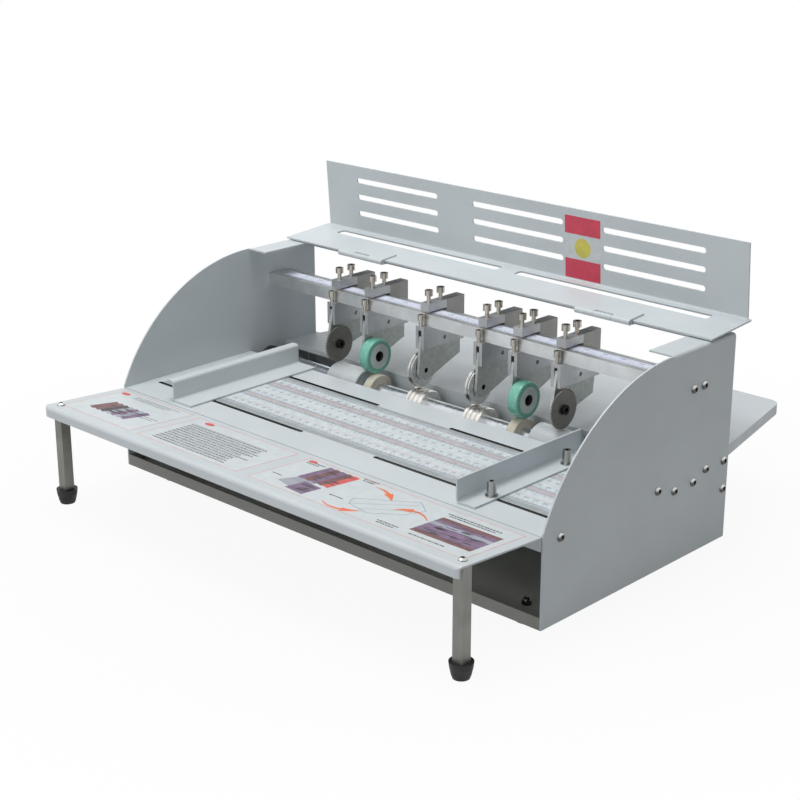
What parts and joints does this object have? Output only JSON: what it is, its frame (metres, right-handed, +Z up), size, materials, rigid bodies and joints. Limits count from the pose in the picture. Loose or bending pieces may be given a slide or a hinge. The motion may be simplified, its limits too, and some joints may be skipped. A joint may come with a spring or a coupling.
{
  "type": "desktop paper creasing machine",
  "caption": "Sheet-metal creasing machine: feed table, sliding tool heads over a driven shaft, side guides, outfeed tray and a slotted hinged cover.",
  "frame": {"origin": "centre of the machine's box in plan, on the surface it stands on", "axes": "+X to the operator's right, +Y the way the paper travels, +Z up"},
  "size_m": [0.5274, 0.4964, 0.2763],
  "materials": {
    "light_grey_coat": "satin powder coat",
    "leg_steel": "brushed",
    "black_rubber": "matte",
    "nickel_steel": "bright nickel plate",
    "bar_aluminium": "satin",
    "block_aluminium": "machined",
    "bright_steel": "ground and plated",
    "pale_drum": "pale, semi-gloss",
    "dark_metal": "satin",
    "pulley_aluminium": "turned",
    "zinc_steel": "zinc plated",
    "black_plastic": "fine texture",
    "blade_steel": "dark ground steel",
    "pale_hub": "smooth",
    "green_tyre": "soft, slightly translucent"
  },
  "bodies": {
    "frame": {"base_pan": "light_grey_coat", "left_side_plate": "light_grey_coat", "right_side_plate": "light_grey_coat", "top_crossmember": "light_grey_coat", "rear_panel": "light_grey_coat", "feed_table": "light_grey_coat", "front_table": "light_grey_coat", "front_legs": "leg_steel", "leg_cups": "black_rubber", "base_feet": "black_rubber", "frame_screws": "nickel_steel", "outfeed_tray": "light_grey_coat", "tool_bar": "bar_aluminium", "hinge_fixed_leaves": "light_grey_coat", "hinge_pins": "nickel_steel", "shaft_bearings": "dark_metal", "motor": "dark_metal", "motor_bracket": "zinc_steel", "drive_belt": "black_rubber", "power_inlet": "black_plastic", "switch_housing": "black_plastic"},
    "cover": {"cover": "light_grey_coat", "hinge_moving_leaves": "light_grey_coat"},
    "left_guide": {"left_guide": "light_grey_coat", "left_guide_screws": "nickel_steel"},
    "right_guide": {"right_guide": "light_grey_coat", "right_guide_screws": "nickel_steel"},
    "shaft": {"drive_shaft": "bright_steel", "anvil_drums": "pale_drum", "feed_rings": "bright_steel", "creasing_dies": "bright_steel", "shaft_pulley": "pulley_aluminium"},
    "motor_rotor": {"motor_pulley": "pulley_aluminium"},
    "rocker": {"switch_rocker": "black_plastic"},
    "head_1": {"head_block_1": "block_aluminium", "head_screws_1": "nickel_steel"},
    "arm_1": {"head_arm_1": "zinc_steel"},
    "wheel_1": {"cutting_blade_1": "blade_steel"},
    "head_2": {"head_block_2": "block_aluminium", "head_screws_2": "nickel_steel"},
    "arm_2": {"head_arm_2": "zinc_steel"},
    "wheel_2": {"feed_wheel_2": "pale_hub", "feed_tyre_2": "green_tyre"},
    "head_3": {"head_block_3": "block_aluminium", "head_screws_3": "nickel_steel"},
    "arm_3": {"head_arm_3": "zinc_steel"},
    "wheel_3": {"creasing_wheel_3": "bright_steel"},
    "head_4": {"head_block_4": "block_aluminium", "head_screws_4": "nickel_steel"},
    "arm_4": {"head_arm_4": "zinc_steel"},
    "wheel_4": {"creasing_wheel_4": "bright_steel"},
    "head_5": {"head_block_5": "block_aluminium", "head_screws_5": "nickel_steel"},
    "arm_5": {"head_arm_5": "zinc_steel"},
    "wheel_5": {"feed_wheel_5": "pale_hub", "feed_tyre_5": "green_tyre"},
    "head_6": {"head_block_6": "block_aluminium", "head_screws_6": "nickel_steel"},
    "arm_6": {"head_arm_6": "zinc_steel"},
    "wheel_6": {"cutting_blade_6": "blade_steel"}
  },
  "joints": [
    {"name": "cover_hinge", "type": "hinge", "parent": "frame", "child": "cover", "pos_m": [0, 0.06165, 0.20229], "axis": [1, 0, 0], "range_deg": [0, 176]},
    {"name": "left_guide_slide", "type": "slide", "parent": "frame", "child": "left_guide", "axis": [1, 0, 0], "range_m": [-0.04, 0.13]},
    {"name": "right_guide_slide", "type": "slide", "parent": "frame", "child": "right_guide", "axis": [1, 0, 0], "range_m": [-0.13, 0.06]},
    {"name": "shaft_spin", "type": "hinge", "parent": "frame", "child": "shaft", "pos_m": [0, 0.035, 0.0795], "axis": [1, 0, 0], "continuous": true},
    {"name": "motor_spin", "type": "hinge", "parent": "frame", "child": "motor_rotor", "pos_m": [-0.235, -0.06875, 0.0505], "axis": [1, 0, 0], "continuous": true},
    {"name": "rocker_tilt", "type": "hinge", "parent": "frame", "child": "rocker", "pos_m": [-0.16, 0.10125, 0.0525], "axis": [-1, 0, 0], "range_deg": [0, 16]},
    {"name": "head_slide_1", "type": "slide", "parent": "frame", "child": "head_1", "axis": [1, 0, 0], "range_m": [-0.06, 0.012]},
    {"name": "arm_lift_1", "type": "hinge", "parent": "head_1", "child": "arm_1", "pos_m": [-0.163, 0.06125, 0.14354], "axis": [-1, 0, 0], "range_deg": [0, 5]},
    {"name": "wheel_spin_1", "type": "hinge", "parent": "arm_1", "child": "wheel_1", "pos_m": [-0.163, 0.03632, 0.11648], "axis": [1, 0, 0], "continuous": true},
    {"name": "head_slide_2", "type": "slide", "parent": "frame", "child": "head_2", "axis": [1, 0, 0], "range_m": [-0.0015, 0.025]},
    {"name": "arm_lift_2", "type": "hinge", "parent": "head_2", "child": "arm_2", "pos_m": [-0.117, 0.06125, 0.14354], "axis": [-1, 0, 0], "range_deg": [0, 5]},
    {"name": "wheel_spin_2", "type": "hinge", "parent": "arm_2", "child": "wheel_2", "pos_m": [-0.117, 0.03926, 0.11404], "axis": [1, 0, 0], "continuous": true},
    {"name": "head_slide_3", "type": "slide", "parent": "frame", "child": "head_3", "axis": [1, 0, 0], "range_m": [-0.025, 0.028]},
    {"name": "arm_lift_3", "type": "hinge", "parent": "head_3", "child": "arm_3", "pos_m": [-0.042, 0.06125, 0.14354], "axis": [-1, 0, 0], "range_deg": [0, 5]},
    {"name": "wheel_spin_3", "type": "hinge", "parent": "arm_3", "child": "wheel_3", "pos_m": [-0.042, 0.03926, 0.11404], "axis": [1, 0, 0], "continuous": true},
    {"name": "head_slide_4", "type": "slide", "parent": "frame", "child": "head_4", "axis": [1, 0, 0], "range_m": [-0.028, 0.014]},
    {"name": "arm_lift_4", "type": "hinge", "parent": "head_4", "child": "arm_4", "pos_m": [0.031, 0.06125, 0.14354], "axis": [-1, 0, 0], "range_deg": [0, 5]},
    {"name": "wheel_spin_4", "type": "hinge", "parent": "arm_4", "child": "wheel_4", "pos_m": [0.031, 0.03926, 0.11404], "axis": [1, 0, 0], "continuous": true},
    {"name": "head_slide_5", "type": "slide", "parent": "frame", "child": "head_5", "axis": [1, 0, 0], "range_m": [-0.014, 0.006]},
    {"name": "arm_lift_5", "type": "hinge", "parent": "head_5", "child": "arm_5", "pos_m": [0.073, 0.06125, 0.14354], "axis": [-1, 0, 0], "range_deg": [0, 5]},
    {"name": "wheel_spin_5", "type": "hinge", "parent": "arm_5", "child": "wheel_5", "pos_m": [0.073, 0.03926, 0.11404], "axis": [1, 0, 0], "continuous": true},
    {"name": "head_slide_6", "type": "slide", "parent": "frame", "child": "head_6", "axis": [1, 0, 0], "range_m": [-0.012, 0.06]},
    {"name": "arm_lift_6", "type": "hinge", "parent": "head_6", "child": "arm_6", "pos_m": [0.123, 0.06125, 0.14354], "axis": [-1, 0, 0], "range_deg": [0, 5]},
    {"name": "wheel_spin_6", "type": "hinge", "parent": "arm_6", "child": "wheel_6", "pos_m": [0.123, 0.03632, 0.11648], "axis": [1, 0, 0], "continuous": true}
  ],
  "couplings": [
    {"joint": "motor_spin", "follows": "shaft_spin", "ratio": 1.375},
    {"joint": "wheel_spin_1", "follows": "shaft_spin", "ratio": -0.96257},
    {"joint": "wheel_spin_2", "follows": "shaft_spin", "ratio": -0.97143},
    {"joint": "wheel_spin_3", "follows": "shaft_spin", "ratio": -0.91667},
    {"joint": "wheel_spin_4", "follows": "shaft_spin", "ratio": -0.91667},
    {"joint": "wheel_spin_5", "follows": "shaft_spin", "ratio": -0.97143},
    {"joint": "wheel_spin_6", "follows": "shaft_spin", "ratio": -0.96257}
  ]
}
